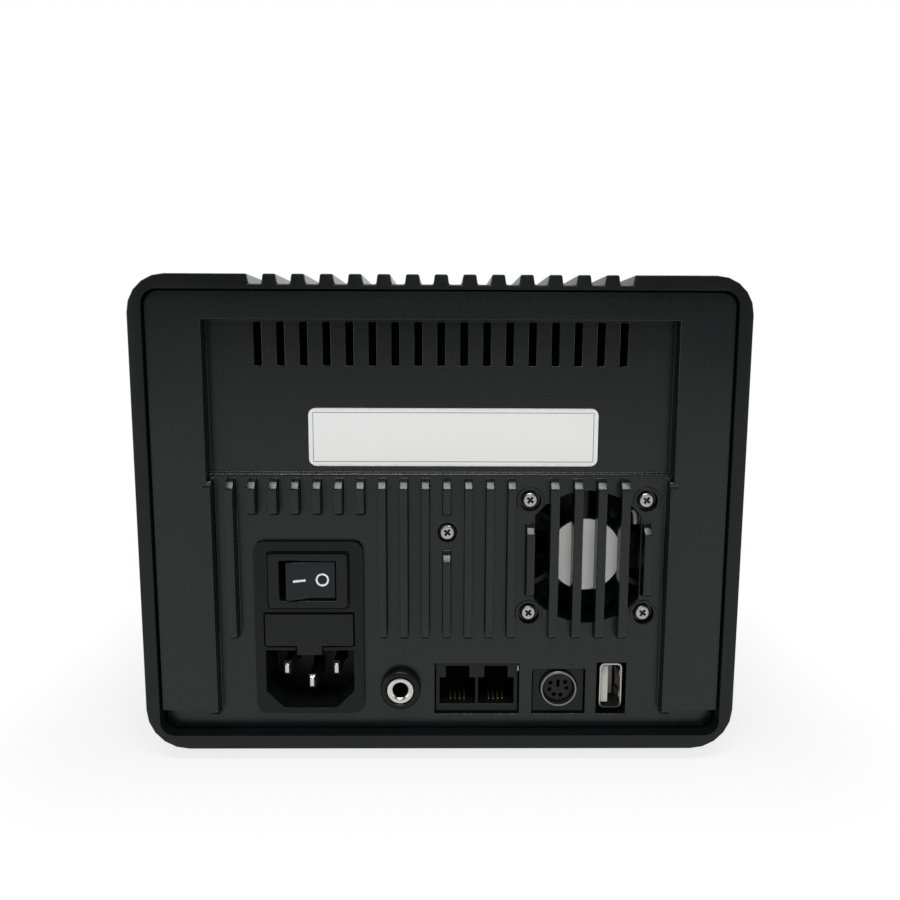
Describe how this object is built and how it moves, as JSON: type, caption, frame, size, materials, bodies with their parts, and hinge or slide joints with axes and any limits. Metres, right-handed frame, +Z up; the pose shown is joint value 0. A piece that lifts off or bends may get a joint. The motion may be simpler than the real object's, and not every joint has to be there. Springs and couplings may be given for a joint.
{
  "type": "bga rework station",
  "caption": "Bench rework station in a grooved black case, with a finned rear panel of sockets, a cooling fan, and a front with display, keys, iron socket and air outlet.",
  "frame": {"origin": "middle of the footprint, at the level of the feet's soles", "axes": "+X to the right as seen from behind, +Y from the rear panel to the front, +Z up"},
  "size_m": [0.163, 0.2264, 0.134],
  "materials": {
    "moulded_black": "fine grained moulding, charcoal black",
    "panel_black": "fine grained moulding, charcoal black",
    "fitting_black": "smooth black fitting plastic",
    "key_grey": "satin mid grey",
    "smoked_pane": "gloss smoked pane",
    "display_glass": "dark display face",
    "rubber": "matt black rubber",
    "zinc_steel": "zinc plated steel",
    "nickel": "bright nickel plate",
    "board_green": "green solder mask",
    "lamination": "varnished core plates",
    "winding_tape": "yellow winding tape",
    "aluminium": "extruded aluminium",
    "blower_grey": "dark grey moulding",
    "hose_black": "black rubber hose"
  },
  "bodies": {
    "station": {"main_housing": "moulded_black", "front_bezel": "moulded_black", "rear_panel": "panel_black", "inlet_housing": "fitting_black", "switch_frame": "fitting_black", "earth_collar": "fitting_black", "twin_jack": "fitting_black", "din_body": "fitting_black", "usb_insulator": "fitting_black", "fan_frame": "fitting_black", "iron_socket_insert": "fitting_black", "air_outlet_gland": "fitting_black", "gland_nut": "fitting_black", "display_pane": "smoked_pane", "display_module": "display_glass", "foot_1": "rubber", "foot_2": "rubber", "foot_3": "rubber", "foot_4": "rubber", "base_plate": "zinc_steel", "base_screw_1": "zinc_steel", "base_screw_2": "zinc_steel", "base_screw_3": "zinc_steel", "base_screw_4": "zinc_steel", "fan_screw_1": "zinc_steel", "fan_screw_2": "zinc_steel", "fan_screw_3": "zinc_steel", "fan_screw_4": "zinc_steel", "panel_screw": "zinc_steel", "rear_brace": "zinc_steel", "transformer_strap": "zinc_steel", "pin_line": "nickel", "pin_neutral": "nickel", "pin_earth": "nickel", "earth_sleeve": "nickel", "earth_nut": "nickel", "din_ring": "nickel", "usb_shell": "nickel", "iron_socket_shell": "nickel", "iron_socket_nut": "nickel", "interface_board": "board_green", "control_board": "board_green", "power_board": "board_green", "transformer_core": "lamination", "transformer_coil": "winding_tape", "heatsink": "aluminium", "blower_motor": "aluminium", "blower_housing": "blower_grey", "air_duct": "hose_black"},
    "rocker": {"switch_rocker": "fitting_black"},
    "fuse_holder": {"fuse_drawer": "fitting_black", "fuse": "nickel"},
    "fan_wheel": {"fan_rotor": "fitting_black"},
    "blower_wheel": {"blower_impeller": "fitting_black"},
    "key_air_cap": {"key_air": "key_grey"},
    "key_down_cap": {"key_down": "key_grey"},
    "key_set_cap": {"key_set": "key_grey"},
    "key_memory_cap": {"key_memory": "key_grey"},
    "key_up_cap": {"key_up": "key_grey"},
    "key_iron_cap": {"key_iron": "key_grey"}
  },
  "joints": [
    {"name": "switch_rock", "type": "hinge", "parent": "station", "child": "rocker", "pos_m": [-0.0364, -0.10629, 0.0518], "axis": [0, 0, -1], "range_deg": [0, 20]},
    {"name": "fuse_drawer_slide", "type": "slide", "parent": "station", "child": "fuse_holder", "axis": [0, -1, 0], "range_m": [0, 0.014]},
    {"name": "fan_spin", "type": "hinge", "parent": "station", "child": "fan_wheel", "pos_m": [0.0405, -0.09955, 0.0579], "axis": [0, 1, 0], "continuous": true},
    {"name": "blower_spin", "type": "hinge", "parent": "station", "child": "blower_wheel", "pos_m": [0.01603, 0.00487, 0.03], "axis": [0, 0, 1], "continuous": true},
    {"name": "key_air_press", "type": "slide", "parent": "station", "child": "key_air_cap", "axis": [0, -1, 0], "range_m": [0, 0.0008], "stiffness_N_per_m": 800},
    {"name": "key_down_press", "type": "slide", "parent": "station", "child": "key_down_cap", "axis": [0, -1, 0], "range_m": [0, 0.0008], "stiffness_N_per_m": 800},
    {"name": "key_set_press", "type": "slide", "parent": "station", "child": "key_set_cap", "axis": [0, -1, 0], "range_m": [0, 0.0008], "stiffness_N_per_m": 800},
    {"name": "key_memory_press", "type": "slide", "parent": "station", "child": "key_memory_cap", "axis": [0, -1, 0], "range_m": [0, 0.0008], "stiffness_N_per_m": 800},
    {"name": "key_up_press", "type": "slide", "parent": "station", "child": "key_up_cap", "axis": [0, -1, 0], "range_m": [0, 0.0008], "stiffness_N_per_m": 800},
    {"name": "key_iron_press", "type": "slide", "parent": "station", "child": "key_iron_cap", "axis": [0, -1, 0], "range_m": [0, 0.0008], "stiffness_N_per_m": 800}
  ]
}
